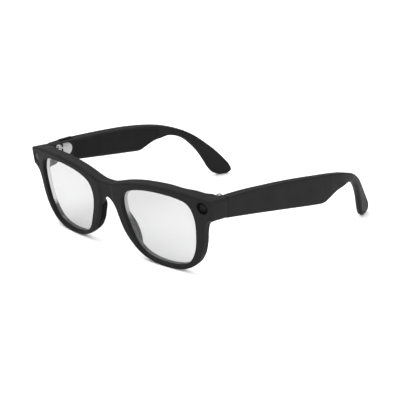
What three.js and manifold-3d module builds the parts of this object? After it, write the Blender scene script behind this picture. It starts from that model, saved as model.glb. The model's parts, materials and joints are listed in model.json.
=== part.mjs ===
// Smart glasses: an acetate-style front with two lenses, a camera and a capture light, and two
// hinged arms that hold the electronics. Millimetres, +Z up. The front faces -Y and the arms run
// towards +Y; +X is the wearer's left. The glasses stand on the rims' lowest points and the arm tips.
import * as THREE from "three";
import { mergeVertices } from "three/addons/utils/BufferGeometryUtils.js";
import Module from "manifold-3d";

const wasm = await Module();
wasm.setup();

// ---- Driving dimensions ----
const GAP = 0.3; // between pieces that touch on the real object
const MIDDLE_Y = 72.2; // depth, from the bridge's face, that becomes Y = 0

// The front, in its own coordinates: u across, v up its face, d back from its face
const WRAP_RADIUS = 339;
const TILT = THREE.MathUtils.degToRad(9); // the lower rims sit further back than the brow
const BRIDGE_Y = 0.5;
const FRONT_RISE = -1.93; // puts the rims' lowest chamfer on Z = 0
const BROW_DEPTH = 6.0;
const RIM_DEPTH = 4.5;
const BROW_BOTTOM = 35.6; // height at which the front deepens into the brow
const FRONT_CHAMFER = 0.7;
const ARCH_TOP = 33.2;
const BRIDGE_TOP = 41.6;
const CORNER_U = 71.3;
const LENS_CENTRE = [36, 23];
const LENS_REACH = [24.5, 20]; // half the width and height of an opening
const LENS_FRONT = 1.3;
const LENS_THICKNESS = 1.8;
const LENS_BITE = 0.5; // how far a lens reaches into its groove
const LENS_STEPS = 40;

// End pieces and hinges
const SEAM_Y = 12.4; // where the end pieces stop and the arms begin
const END_BOTTOM = 33;
const END_TOP = 43.1;
const WEB = { from: 48, to: 66.5, bottom: 41.2, drop: 0.4, slope: 1.9 }; // drops below the brow's top edge
const webDepth = stations([48, 5.4], [54, 6.6], [60, 9], [64, 10.8], [67, 11.4]);
const HINGE = { x: 63.2, y: 14.6, bottom: 34.8, pitch: 1.5, knuckles: 5, radius: 1.5, pin: 0.7 };

// Arms: heights and offsets at stations along Y
const ARM_THICKNESS = 7; // nominal; the stations below scale it
const ARM_START = SEAM_Y + GAP;
const BOX_END = 100; // the hollow part of an arm ends here and the solid tip begins
const outerFace = stations([12, 71.2], [50, 73.8], [90, 75.5], [105, 73.6], [120, 68.8],
  [140, 60.3], [152, 56.5]);
const thickness = stations([12, 7], [50, 6.7], [90, 6.2], [110, 5.2], [130, 4.7], [152, 4.5]);
const armTop = stations([12, 42.5], [26, 42.8], [40, 42.7], [55, 42.2], [77, 40.7], [97, 38.2], [108, 35.9]);
const armBottom = stations([12, 32.1], [30, 30.3], [55, 27.5], [78, 24.8], [83, 24.6], [88, 26.4],
  [95, 29], [102, 29.8]);

// Lower and upper edge of the tip beyond the box's end, at stations along it
const tipEdges = [
  stations([100, 100], [107, 106], [113, 111.4], [120, 116.9], [128, 122.1], [136, 126.8], [144, 130.7],
    [151, 134.1], [155, 137.2], [157.6, 141], [159, 145]),
  stations([100, 29.8], [107, 30.3], [113, 29.3], [120, 26.8], [128, 22.3], [136, 16.7], [144, 10.3],
    [151, 4.6], [155, 1.4], [157.6, 0], [159, 0]),
  stations([100, 100], [107, 108.8], [113, 116.9], [120, 124.8], [128, 131.8], [136, 137.9],
    [144, 143.3], [151, 147.6], [155, 149.2], [157.6, 148.8], [159, 146]),
  stations([100, 37.7], [107, 35.4], [113, 32.3], [120, 27.9], [128, 22.5], [136, 17], [144, 11.5],
    [151, 6.5], [155, 3.5], [157.6, 1.3], [159, 0]),
];
const ARM_END = 158.8;

// ---- Shape helpers ----
function stations(...pairs) {
  const at = pairs.map(([y]) => y);
  const values = pairs.map(([, value]) => value);
  const curve = new THREE.CubicInterpolant(at, values, 1);
  return (y) => curve.evaluate(THREE.MathUtils.clamp(y, at[0], at.at(-1)))[0];
}

function range(from, to, steps) {
  return Array.from({ length: steps + 1 }, (_, i) => from + ((to - from) * i) / steps);
}

// A closed geometry as a solid, facing out whichever way its triangles were wound
function solidFrom(geometry) {
  const flat = geometry.index ? geometry.toNonIndexed() : geometry;
  const bare = new THREE.BufferGeometry().setAttribute("position", flat.getAttribute("position"));
  const merged = mergeVertices(bare, 1e-3);
  const triVerts = new Uint32Array(merged.index.array);
  const vertProperties = merged.attributes.position.array;
  const made = new wasm.Manifold(new wasm.Mesh({ numProp: 3, vertProperties, triVerts }));
  if (made.volume() > 0) return made;
  for (let i = 0; i < triVerts.length; i += 3)
    [triVerts[i], triVerts[i + 1]] = [triVerts[i + 1], triVerts[i]];
  return new wasm.Manifold(new wasm.Mesh({ numProp: 3, vertProperties, triVerts }));
}

function geometryFrom(solid) {
  const mesh = solid.getMesh();
  const geometry = new THREE.BufferGeometry()
    .setAttribute("position", new THREE.BufferAttribute(mesh.vertProperties, 3))
    .setIndex(new THREE.BufferAttribute(mesh.triVerts, 1));
  geometry.computeVertexNormals();
  return geometry;
}

// Moves every vertex of a geometry through a function of its three coordinates
function mapped(geometry, move) {
  const position = geometry.getAttribute("position");
  for (let i = 0; i < position.count; i++)
    position.setXYZ(i, ...move(position.getX(i), position.getY(i), position.getZ(i)));
  return geometry;
}

// A flat outline between two depths, with chamfers taken out of its own size
function slab(shape, from, to, chamfer = 0, curveSegments = 8) {
  const geometry = new THREE.ExtrudeGeometry(shape, {
    depth: to - from - 2 * chamfer,
    curveSegments,
    bevelEnabled: chamfer > 0,
    bevelThickness: chamfer,
    bevelSize: chamfer,
    bevelOffset: -chamfer,
    bevelSegments: 1,
  });
  return geometry.translate(0, 0, from + chamfer);
}

function polygon(points) {
  return new THREE.Shape(points.map(([x, y]) => new THREE.Vector2(x, y)));
}

function block(low, high, steps = 1) {
  const size = high.map((value, i) => value - low[i]);
  const centre = high.map((value, i) => (value + low[i]) / 2);
  return new THREE.BoxGeometry(...size, steps, 1, 1).translate(...centre);
}

// A turned piece about local Z: profile points are [radius, z]
function turned(profile, segments = 24) {
  const points = profile.map(([r, z]) => new THREE.Vector2(r, z));
  return new THREE.LatheGeometry(points, segments).rotateX(Math.PI / 2);
}

function rod(radius, from, to, segments = 20) {
  return turned([[0, from], [radius, from], [radius, to], [0, to]], segments);
}

function tube(inner, outer, from, to, segments = 24) {
  return turned([[inner, from], [outer, from], [outer, to], [inner, to], [inner, from]], segments);
}

// ---- Front coordinates ----
function frontPoint(u, v, d) {
  const turn = u / WRAP_RADIUS;
  const x = (WRAP_RADIUS - d) * Math.sin(turn);
  const back = WRAP_RADIUS * (1 - Math.cos(turn)) + d * Math.cos(turn);
  return [
    x,
    BRIDGE_Y + back - v * Math.sin(TILT),
    FRONT_RISE + v * Math.cos(TILT) + d * Math.sin(TILT),
  ];
}

function onFront(geometry) {
  return mapped(geometry, frontPoint);
}

// Places a piece made about local Z so that Z points straight out of the front at u, v
function placedOnFront(geometry, u, v) {
  const origin = new THREE.Vector3(...frontPoint(u, v, 0));
  const across = new THREE.Vector3(...frontPoint(u + 1, v, 0)).sub(origin).normalize();
  const up = new THREE.Vector3(...frontPoint(u, v + 1, 0)).sub(origin).normalize();
  const out = across.clone().cross(up);
  return geometry.applyMatrix4(new THREE.Matrix4().makeBasis(across, up, out).setPosition(origin));
}

// ---- Front outlines ----
const lensOutline = new THREE.CatmullRomCurve3(
  [[60.2, 31], [57.4, 40.1], [50, 42.9], [36, 43.4], [22.5, 41.7], [13.8, 37.6], [11.6, 29.5],
    [15, 17.5], [19.9, 8.8], [28, 4.7], [41, 3.9], [52, 7], [58.2, 15.9]]
    .map(([u, v]) => new THREE.Vector3(u, v, 0)),
  true,
);

// The lens outline grown by a distance all round
function lensPoint(share, grow) {
  const p = lensOutline.getPoint(share);
  return [p.x, p.y].map((value, i) =>
    LENS_CENTRE[i] + (value - LENS_CENTRE[i]) * (1 + grow / LENS_REACH[i]));
}

function lensHole() {
  return polygon(range(0, 1 - 1 / LENS_STEPS, LENS_STEPS - 1).map((share) => lensPoint(share, 0)));
}

// Top edge of the brow, from the bridge to the corner
const browTop = stations([0, BRIDGE_TOP], [7, 42.3], [14, 44], [24, 46.1], [36, 47.3], [50, 47.4], [60, 46.8],
  [72, 45.2]);

function frontEdge() {
  const half = new THREE.Path();
  half.moveTo(0, ARCH_TOP);
  half.bezierCurveTo(2.8, ARCH_TOP, 4.7, 31, 5.7, 27.5);
  half.splineThru([[7.5, 21.5], [10, 15.7], [14.4, 10.1], [20.2, 5.7], [27.4, 2.9], [35.5, 1.9],
    [44, 2.1], [51.5, 3.9], [57.8, 7.9], [61.7, 13.9], [63.8, 21], [64.9, 28], [66.4, 32.4], [69.2, 35.1]]
    .map(([u, v]) => new THREE.Vector2(u, v)));
  half.lineTo(CORNER_U, 35.3);
  half.lineTo(CORNER_U, browTop(CORNER_U));
  const right = half.getPoints(3).map((p) => [p.x, p.y]);
  right.push(...range(CORNER_U - 6, 0, 20).map((u) => [u, browTop(u)]));
  const left = right.slice(1, -1).reverse().map(([u, v]) => [-u, v]);
  return polygon([...right, ...left]);
}

// A closed ring or disc that follows the lens outline: profile points are [share or rim growth, d]
function lensBody(profile, side) {
  const points = profile.map(([radius, d]) => new THREE.Vector2(radius, d));
  const geometry = new THREE.LatheGeometry(points, LENS_STEPS);
  return onFront(mapped(geometry, (x, d, z) => {
    const radius = Math.hypot(x, z);
    const share = (Math.atan2(z, x) / (2 * Math.PI) + 1) % 1;
    const grow = Math.max(radius - 1, 0) * LENS_REACH[0];
    const [u, v] = lensPoint(share, grow);
    const scale = Math.min(radius, 1);
    return [
      side * (LENS_CENTRE[0] + (u - LENS_CENTRE[0]) * scale),
      LENS_CENTRE[1] + (v - LENS_CENTRE[1]) * scale,
      d,
    ];
  }));
}

function lens(side) {
  const rim = 1 + LENS_BITE / LENS_REACH[0];
  const back = LENS_FRONT + LENS_THICKNESS;
  return lensBody([[0, LENS_FRONT], [0.55, LENS_FRONT], [rim, LENS_FRONT], [rim, back],
    [0.55, back], [0, back]], side);
}

function lensGroove(side) {
  const rim = 1 + (LENS_BITE + GAP) / LENS_REACH[0];
  const front = LENS_FRONT - GAP;
  const back = LENS_FRONT + LENS_THICKNESS + GAP;
  return lensBody([[0.94, front], [rim, front], [rim, back], [0.94, back], [0.94, front]], side);
}

// ---- Front pieces ----
const CAMERA = { u: 66.2, v: 41 };
const LIGHT = { u: -66.2, v: 41 };
const SENSOR = { u: -65.4, v: 36.6 };
const COVER_FRONT = 4.9; // depth at which the rear brow cover begins
const COVER_REACH = 47.5;
const COVER_BOTTOM = 36.2;
const FLEX_DROP = [1.0, 2.5]; // the flex channel's top and bottom below the brow's top edge

function frontBody(from, to) {
  const edge = frontEdge();
  for (const side of [1, -1])
    edge.holes.push(polygon(lensHole().getPoints().map((p) => [side * p.x, p.y])));
  return slab(edge, from, to, FRONT_CHAMFER);
}

// One end piece behind the face, on the +X side: a block to the seam, and a web that runs into the brow
function endPiece() {
  const plan = polygon([[61.8, 3.6], [70.3, 3.6], [71.1, 6], [71.4, 9], [71.4, SEAM_Y], [62.6, SEAM_Y]]);
  const web = mapped(block([WEB.from, 0, 0], [WEB.to, 1, 1], 9), (u, up, back) => {
    const v = THREE.MathUtils.lerp(WEB.bottom, browTop(u) - WEB.drop - WEB.slope * back, up);
    return frontPoint(u, v, THREE.MathUtils.lerp(BROW_DEPTH - 2.5, webDepth(u), back));
  });
  return solidFrom(slab(plan, END_BOTTOM, END_TOP, 0.6)).add(solidFrom(web));
}

function bothSides(makeSolid) {
  const solid = makeSolid();
  return solid.add(solid.mirror([1, 0, 0]));
}

// Band that follows the brow's top edge, between two drops below it and two depths
function browBand(reach, drops, depths) {
  const band = block([-reach, -drops[1], depths[0]], [reach, -drops[0], depths[1]], 32);
  return onFront(mapped(band, (u, rise, d) => [u, browTop(Math.abs(u)) + rise, d]));
}

function coverRegion(grow) {
  return upperRegion(COVER_BOTTOM - grow, COVER_REACH + grow, COVER_FRONT - grow);
}

// Space for the camera or light parts behind a round hole in the face
function facePocket({ u, v }, bore) {
  return solidFrom(placedOnFront(rod(bore, -2.6, 2, 28), u, v))
    .add(solidFrom(placedOnFront(rod(3.1, -4, -2.4, 20), u, v)))
    .add(solidFrom(placedOnFront(block([-2.9, -3.2, -8.4], [2.9, 3.2, -3.8]), u, v)));
}

function hingeBox(low, high) {
  return solidFrom(block(low, high));
}

// Everything above a height, inside a reach and behind a depth
function upperRegion(bottom, reach, front) {
  return solidFrom(onFront(block([-reach, bottom, front], [reach, 52, BROW_DEPTH + 3], 24)));
}

function browBody() {
  return solidFrom(onFront(frontBody(0, BROW_DEPTH)));
}

function frontFrame() {
  const behindRims = block([-CORNER_U, -8, RIM_DEPTH], [CORNER_U, BROW_BOTTOM, BROW_DEPTH + 3], 24);
  let frame = browBody().subtract(solidFrom(onFront(behindRims))).add(bothSides(endPiece));
  for (const side of [1, -1]) frame = frame.subtract(solidFrom(lensGroove(side)));
  frame = frame
    .subtract(coverRegion(GAP))
    .subtract(solidFrom(browBand(66, FLEX_DROP, [3.7, COVER_FRONT])))
    .subtract(facePocket(CAMERA, 3.3))
    .subtract(facePocket(LIGHT, 3.2))
    .subtract(solidFrom(placedOnFront(rod(0.9, -5.2, 2, 12), SENSOR.u, SENSOR.v)))
    .subtract(bothSides(() => frontLeafSpace(GAP)));
  for (const x of CONTACTS)
    frame = frame.subtract(solidFrom(contactBody(x, GAP)));
  return frame;
}

function browCover() {
  return browBody().intersect(coverRegion(0));
}

// Nose pad: a half-moon that stands behind the nasal rim and splays towards the back
function nosePad(side) {
  const shape = new THREE.Shape();
  shape.moveTo(8.5, 0);
  shape.bezierCurveTo(8.8, 2.6, 10.5, 4.4, 14, 4.4);
  shape.bezierCurveTo(18, 4.4, 23, 2.6, 25.2, 0);
  const nasal = stations([8, 14.6], [12, 11.8], [18, 8.9], [24, 6.9], [30, 5.2]);
  return onFront(mapped(slab(shape, 0, 3.4, 0.8, 6), (v, back, w) => {
    return [side * (nasal(v) + 0.6 + w + 0.3 * back), v, RIM_DEPTH + GAP + back];
  }));
}

// Charging contacts at the bridge's inner side
const CONTACTS = [-2.6, 2.6];
const CONTACT_V = 35;
function contactBody(x, grow) {
  return placedOnFront(rod(0.9 + grow, -5.0, -3.4 + grow, 14), x, CONTACT_V);
}

// ---- Hinges, on the +X side ----
function knuckle(index, radius, shrink) {
  const low = HINGE.bottom + index * HINGE.pitch;
  return rod(radius, low + shrink, low + HINGE.pitch - shrink, 14).translate(HINGE.x, HINGE.y, 0);
}

function pinHole() {
  return solidFrom(rod(HINGE.pin + 0.1, 30, 52, 14).translate(HINGE.x, HINGE.y, 0));
}

function hingeTop() {
  return HINGE.bottom + HINGE.knuckles * HINGE.pitch;
}

// The front leaf's plate lies against the end piece's inner side, and its knuckles are 0, 2 and 4
function frontLeafSpace(grow) {
  return hingeBox([HINGE.x - 0.5 - grow, 8.6 - grow, HINGE.bottom - grow],
    [HINGE.x + 0.5 + grow, SEAM_Y + 1, hingeTop() + grow]);
}

function frontLeaf() {
  let leaf = frontLeafSpace(0).intersect(hingeBox([0, 0, 0], [80, SEAM_Y + 0.3, 60]));
  for (const i of [0, 2, 4]) {
    const low = HINGE.bottom + i * HINGE.pitch + 0.1;
    leaf = leaf
      .add(solidFrom(knuckle(i, HINGE.radius, 0.1)))
      .add(hingeBox([HINGE.x - 0.5, SEAM_Y - 0.5, low], [HINGE.x + 0.5, HINGE.y, low + HINGE.pitch - 0.2]));
  }
  return leaf.subtract(pinHole());
}

// The temple leaf's plate lies in the arm's inner side, rounded at the rear; knuckles 1 and 3
function leafPlate(grow) {
  const middle = HINGE.bottom + 2.5 * HINGE.pitch;
  const half = 3.6 + grow;
  const shape = new THREE.Shape();
  shape.moveTo(17 - grow, middle - half);
  shape.lineTo(21.2, middle - half);
  shape.absarc(21.2, middle, half, -Math.PI / 2, Math.PI / 2, false);
  shape.lineTo(17 - grow, middle + half);
  return onArm(slab(shape, 5.7 - grow, 7.2 + grow, 0, 7));
}

function templeLeaf() {
  let leaf = solidFrom(leafPlate(0));
  for (const i of [1, 3]) {
    const low = HINGE.bottom + i * HINGE.pitch + 0.1;
    leaf = leaf
      .add(solidFrom(knuckle(i, HINGE.radius, 0.1)))
      .add(hingeBox([HINGE.x + 0.3, HINGE.y, low], [HINGE.x + 1.4, 17.6, low + HINGE.pitch - 0.2]))
      .add(hingeBox([HINGE.x + 0.5, 17, low], [HINGE.x + 2.4, 17.8, low + HINGE.pitch - 0.2]));
  }
  return leaf.subtract(pinHole());
}

function hingePin() {
  const low = HINGE.bottom - 0.3;
  const top = hingeTop();
  return turned([[0, low], [HINGE.pin, low], [HINGE.pin, top + 0.15], [1.3, top + 0.15],
    [1.3, top + 0.6], [0, top + 0.6]], 14).translate(HINGE.x, HINGE.y, 0);
}

// ---- Arms, on the +X side, in their own coordinates: y back, z up, w inwards from the outer face ----
function armPoint(y, z, w) {
  return [outerFace(y) - (w * thickness(y)) / ARM_THICKNESS, y, z];
}

function onArm(geometry) {
  return mapped(geometry, armPoint);
}

// The two edges of the arm's side at a station: upright sections up to the box's end, then
// sections that turn with the ear bend and close round the end of the tip
function armEdges(station) {
  if (station <= BOX_END) return [station, armBottom(station), station, armTop(station)];
  return tipEdges.map((edge) => edge(station));
}

// A point of the arm at a station, from -1 at its lower edge to 1 at its upper edge
function tipPoint(station, share, w) {
  const [lowY, lowZ, highY, highZ] = armEdges(station);
  const t = (share + 1) / 2;
  return armPoint(THREE.MathUtils.lerp(lowY, highY, t), THREE.MathUtils.lerp(lowZ, highZ, t), w);
}

// The whole arm as a loft of rounded sections
function armBody() {
  const geometry = new THREE.CylinderGeometry(1, 1, 1, 16, 38);
  return mapped(geometry, (x, along, z) => {
    const station = THREE.MathUtils.lerp(ARM_START, ARM_END, along + 0.5);
    const radius = Math.hypot(x, z);
    const squared = (value) => Math.sign(value) * Math.sqrt(Math.abs(value / (radius || 1))) * radius;
    return tipPoint(station, squared(x), (ARM_THICKNESS / 2) * (1 + squared(z)));
  });
}

// A patch of the arm between two stations, held in from its upper and lower edges
function patchBody(from, to, inset, low, high) {
  const geometry = block([from, 0, low], [to, 1, high], Math.ceil((to - from) / 4));
  return onArm(mapped(geometry, (y, share, w) =>
    [y, THREE.MathUtils.lerp(armBottom(y) + inset, armTop(y) - inset, share), w]));
}

// A bar of one width along the middle of the tip
function tipBar(halfWidth, from, to, low, high) {
  return mapped(block([from, -halfWidth, low], [to, halfWidth, high], 12), (station, rise, w) => {
    const [lowY, lowZ, highY, highZ] = armEdges(station);
    return tipPoint(station, (2 * rise) / Math.hypot(highY - lowY, highZ - lowZ), w);
  });
}

// A piece measured from the arm's lower or upper edge line, so that it follows that edge
function alongEdge(edge, from, to, heights, depths) {
  const geometry = block([from, heights[0], depths[0]], [to, heights[1], depths[1]], 3);
  return onArm(mapped(geometry, (y, h, w) => [y, edge(y) + h, w]));
}

const SPEAKER = [81, 93];
const GRILLE = [84, 92];
const FLEX_Z = [36.8, 39];
const BUTTON = { from: 19.8, to: 29.4, low: 1.5, high: 4.1, proud: 0.5 };
const SWITCH = { from: 31.2, length: 3.4, travel: 2, bottom: 35.9, top: 38.3 };

function switchSlot() {
  const to = SWITCH.from + SWITCH.length + SWITCH.travel + GAP;
  return onArm(block([SWITCH.from - GAP, SWITCH.bottom - GAP, 4.9], [to, SWITCH.top + GAP, 9], 1));
}

function armShell(isLeft) {
  let shell = solidFrom(armBody())
    .subtract(solidFrom(patchBody(27.2, BOX_END + GAP, 0.8, 5.2, 9)))
    .subtract(solidFrom(patchBody(31, BOX_END - 1, 2.2, 1.5, 6)))
    .subtract(solidFrom(leafPlate(GAP)))
    .subtract(solidFrom(tipBar(1.8, BOX_END - 3, 146.5, 2.5, 4.5)))
    .subtract(solidFrom(onArm(block([10, FLEX_Z[0] - GAP, 3.0], [33, FLEX_Z[1] + GAP, 4.0], 4))))
    .subtract(solidFrom(alongEdge(armBottom, GRILLE[0] - GAP, GRILLE[1] + GAP, [-2, 3], [2, 4.6])))
    .subtract(solidFrom(alongEdge(armTop, 34.4, 35.2, [-4, 2], [2.6, 3.4])))
    .subtract(hingeBox([HINGE.x - 3, 10, HINGE.bottom - 0.6], [HINGE.x + 1.9, 18, hingeTop() + 1.2]));
  if (!isLeft)
    shell = shell.subtract(solidFrom(alongEdge(armTop, BUTTON.from - GAP, BUTTON.to + GAP,
      [-3.4, 3], [BUTTON.low - GAP, BUTTON.high + GAP])));
  return shell;
}

function armCover(isLeft) {
  let cover = solidFrom(patchBody(27.5, BOX_END, 1.1, 5.5, ARM_THICKNESS));
  if (isLeft) cover = cover.subtract(solidFrom(switchSlot()));
  return cover;
}

function speakerGrille() {
  let grille = solidFrom(alongEdge(armBottom, ...GRILLE, [0.4, 1.2], [2.3, 4.3]));
  for (const y of range(GRILLE[0] + 1.2, GRILLE[1] - 1.2, 4))
    grille = grille.subtract(solidFrom(alongEdge(armBottom, y - 0.4, y + 0.4, [-1, 3], [2.7, 3.9])));
  return grille;
}

// ---- Materials ----
function material(color, roughness, metalness = 0, opacity = 1) {
  return new THREE.MeshStandardMaterial({
    color, roughness, metalness, opacity, transparent: opacity < 1,
  });
}

const frameBlack = material(0x1d1d1e, 0.55);
const innerBlack = material(0x171718, 0.6);
const padBlack = material(0x161617, 0.5);
const clearLens = material(0xe9eaec, 0.05, 0, 0.25);
const nickel = material(0xc9c9c7, 0.35, 1);
const steel = material(0x9a9a98, 0.4, 1);
const gold = material(0xc7a35a, 0.35, 1);
const gloss = material(0x0a0a0b, 0.08);
const lightWindow = material(0x2a2a2c, 0.25);
const boardGreen = material(0x1f4a33, 0.6);
const flexAmber = material(0x9a5a1e, 0.5);
const batteryGrey = material(0x8d9094, 0.45);

// ---- Scene ----
const glasses = new THREE.Group();
glasses.position.y = -MIDDLE_Y;
const leftSide = new THREE.Group();
const rightSide = new THREE.Group();
rightSide.scale.x = -1;
glasses.add(leftSide, rightSide);

function add(group, name, geometryOrSolid, look) {
  const geometry = geometryOrSolid.isBufferGeometry
    ? geometryFrom(solidFrom(geometryOrSolid))
    : geometryFrom(geometryOrSolid);
  const mesh = new THREE.Mesh(geometry, look);
  mesh.name = name;
  group.add(mesh);
}

function addFront() {
  add(glasses, "front_frame", frontFrame(), frameBlack);
  add(glasses, "rear_brow_cover", browCover(), innerBlack);
  for (const [name, side] of [["left", 1], ["right", -1]]) {
    add(glasses, `${name}_lens`, lens(side), clearLens);
    add(glasses, `${name}_nose_pad`, nosePad(side), padBlack);
  }
  add(glasses, "front_flex_cable",
    browBand(61, [FLEX_DROP[0] + GAP, FLEX_DROP[1] - GAP], [4.0, 4.3]), flexAmber);
  CONTACTS.forEach((x, i) => add(glasses, `charging_contact_${i + 1}`, contactBody(x, 0), gold));
}

function addCamera() {
  const at = (geometry) => placedOnFront(geometry, CAMERA.u, CAMERA.v);
  const window = [[0, -0.9], [1.9, -0.9], [1.9, -0.35], [1.1, -0.1], [0, 0]];
  const barrel = solidFrom(rod(2.7, -4.2, -1.5)).add(solidFrom(block([-2.5, -2.5, -6.4], [2.5, 2.5, -4.1])));
  add(glasses, "camera_bezel_ring", at(tube(2.2, 3.0, -1.2, 0.1, 24)), gloss);
  add(glasses, "camera_window", at(turned(window)), gloss);
  add(glasses, "camera_module", at(geometryFrom(barrel)), innerBlack);
  add(glasses, "camera_board", at(block([-2.6, -2.9, -8.0], [2.6, 2.9, -6.9])), boardGreen);
}

function addLight() {
  const at = (geometry) => placedOnFront(geometry, LIGHT.u, LIGHT.v);
  const guide = [[0, -2.2], [1.8, -2.2], [1.8, -1.2], [2.9, -1.2], [2.9, -0.1], [2.6, 0], [0, 0]];
  add(glasses, "capture_light_window", at(turned(guide)), lightWindow);
  add(glasses, "capture_light_board", at(block([-2.5, -2.8, -6.4], [2.5, 2.8, -4.4])), boardGreen);
  add(glasses, "light_sensor", placedOnFront(rod(0.6, -3, -0.2, 12), SENSOR.u, SENSOR.v), gloss);
}

function addHinges() {
  for (const [name, group] of [["left", leftSide], ["right", rightSide]]) {
    add(group, `${name}_hinge_front_leaf`, frontLeaf(), nickel);
    add(group, `${name}_hinge_temple_leaf`, templeLeaf(), nickel);
    add(group, `${name}_hinge_pin`, hingePin(), steel);
  }
}

function addArm(name, group) {
  const isLeft = name === "left";
  add(group, `${name}_temple_shell`, armShell(isLeft), frameBlack);
  add(group, `${name}_temple_inner_cover`, armCover(isLeft), innerBlack);
  add(group, `${name}_tip_core`, tipBar(1.4, BOX_END - 0.5, 146, 2.9, 4.1), steel);
  add(group, `${name}_temple_flex_cable`,
    onArm(block([ARM_START + 0.3, FLEX_Z[0], 3.3], [30.8, FLEX_Z[1], 3.6], 4)), flexAmber);
  add(group, `${name}_speaker`, patchBody(...SPEAKER, 3.9, 1.9, 4.9), innerBlack);
  add(group, `${name}_speaker_grille`, speakerGrille(), steel);
  const top = armTop(35);
  add(group, `${name}_microphone`,
    onArm(block([33.4, top - 4.2, 2.1], [36.4, top - 2.8, 3.9], 1)), steel);
}

function addLeftInternals() {
  add(leftSide, "battery", patchBody(42, 76, 3.0, 1.9, 4.9), batteryGrey);
  add(leftSide, "battery_protection_board", patchBody(76.6, 79.6, 3.4, 2.2, 3.4), boardGreen);
  const to = SWITCH.from + SWITCH.length + SWITCH.travel + 1.5;
  add(leftSide, "power_switch_base",
    onArm(block([SWITCH.from, SWITCH.bottom - 1, 2.2], [to, SWITCH.top - 0.2, 4.7], 1)), steel);
  add(leftSide, "power_switch",
    onArm(block([SWITCH.from, SWITCH.bottom, 5.2],
      [SWITCH.from + SWITCH.length, SWITCH.top, 7.5], 1)), innerBlack);
}

function addRightInternals() {
  add(rightSide, "touch_sensor", patchBody(38, 66, 3.0, 1.8, 2.1), flexAmber);
  add(rightSide, "wireless_module", patchBody(42, 58, 4.2, 2.4, 3.5), steel);
  add(rightSide, "main_board", patchBody(38, 79, 3.0, 3.8, 4.6), boardGreen);
  const heights = [-1.6, BUTTON.proud];
  add(rightSide, "capture_button",
    alongEdge(armTop, BUTTON.from, BUTTON.to, heights, [BUTTON.low, BUTTON.high]), innerBlack);
  const middle = (BUTTON.from + BUTTON.to) / 2;
  add(rightSide, "button_switch",
    alongEdge(armTop, middle - 1.6, middle + 1.6, [-3.1, -2.3], [2.0, 4.0]), steel);
}

addFront();
addCamera();
addLight();
addHinges();
addArm("left", leftSide);
addArm("right", rightSide);
addLeftInternals();
addRightInternals();

export default glasses;
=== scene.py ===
"""Smart glasses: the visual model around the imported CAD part. Lengths are millimetres in the design's
own coordinates, where Y = 0 is about the bridge's face. place() turns them into the frame's metres."""

import json
import math

import bmesh
import bpy
import numpy as np
from mathutils import Matrix, Vector


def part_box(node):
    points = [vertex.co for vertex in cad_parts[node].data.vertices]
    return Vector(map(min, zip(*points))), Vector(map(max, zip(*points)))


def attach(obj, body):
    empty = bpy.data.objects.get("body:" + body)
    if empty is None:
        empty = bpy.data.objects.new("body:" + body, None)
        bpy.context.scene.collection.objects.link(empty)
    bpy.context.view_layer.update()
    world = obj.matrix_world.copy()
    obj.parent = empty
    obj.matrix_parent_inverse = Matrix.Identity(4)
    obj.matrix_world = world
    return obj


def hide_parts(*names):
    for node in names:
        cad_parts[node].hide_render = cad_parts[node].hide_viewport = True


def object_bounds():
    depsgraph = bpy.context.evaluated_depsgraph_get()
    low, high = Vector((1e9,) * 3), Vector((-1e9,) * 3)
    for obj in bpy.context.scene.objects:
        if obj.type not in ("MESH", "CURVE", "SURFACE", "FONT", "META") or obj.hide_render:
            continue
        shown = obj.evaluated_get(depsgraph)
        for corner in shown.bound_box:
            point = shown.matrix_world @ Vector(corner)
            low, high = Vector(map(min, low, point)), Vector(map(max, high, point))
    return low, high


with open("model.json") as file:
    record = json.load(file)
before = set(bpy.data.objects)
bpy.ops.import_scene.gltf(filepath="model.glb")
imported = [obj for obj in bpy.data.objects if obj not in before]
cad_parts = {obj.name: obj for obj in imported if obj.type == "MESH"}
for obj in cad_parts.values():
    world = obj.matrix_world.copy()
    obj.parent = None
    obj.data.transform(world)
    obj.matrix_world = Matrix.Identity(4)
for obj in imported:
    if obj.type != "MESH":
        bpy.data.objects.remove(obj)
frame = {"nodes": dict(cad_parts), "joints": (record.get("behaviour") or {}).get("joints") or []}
cad_box = [list(corner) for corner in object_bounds()]
joints = {joint["name"]: joint for joint in frame["joints"]}

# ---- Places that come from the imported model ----
ARM_START = 12.7
SHIFT_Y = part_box("left_temple_shell")[0].y * 1000 - ARM_START
HINGE_X = joints["left_temple_fold"]["pos_m"][0] * 1000
HINGE_Y = joints["left_temple_fold"]["pos_m"][1] * 1000 - SHIFT_Y
HINGE_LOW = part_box("left_hinge_front_leaf")[0].z * 1000
HINGE_PITCH = 1.5   # five knuckles
HINGE_TOP = HINGE_LOW + 5 * HINGE_PITCH

# ---- The front's own coordinates: u across, v up its face, d back from its face ----
WRAP_RADIUS = 339
TILT = math.radians(9)
BRIDGE_Y = 0.5
FRONT_RISE = -1.93
SEAM_Y = 12.4
CORNER_U = 71.3
ARCH_TOP = 32.4
BRIDGE_TOP = 41.0
LENS_CENTRE = (36.0, 23.0)
LENS_FACE, LENS_BACK = 2.3, 4.0
RIM_DEPTH = 4.5
BROW_DEPTH = 6.0
END_BOTTOM = 34.75
ON_MIDDLE = 1e-6   # less than this from the middle plane counts as on it


def place(p):
    return Vector((p[0], p[1] + SHIFT_Y, p[2])) / 1000


def clamp(value, low=0.0, high=1.0):
    return max(low, min(high, value))


def smooth(value):
    value = clamp(value)
    return value * value * (3 - 2 * value)


def lerp(a, b, t):
    return a + (b - a) * t


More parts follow.
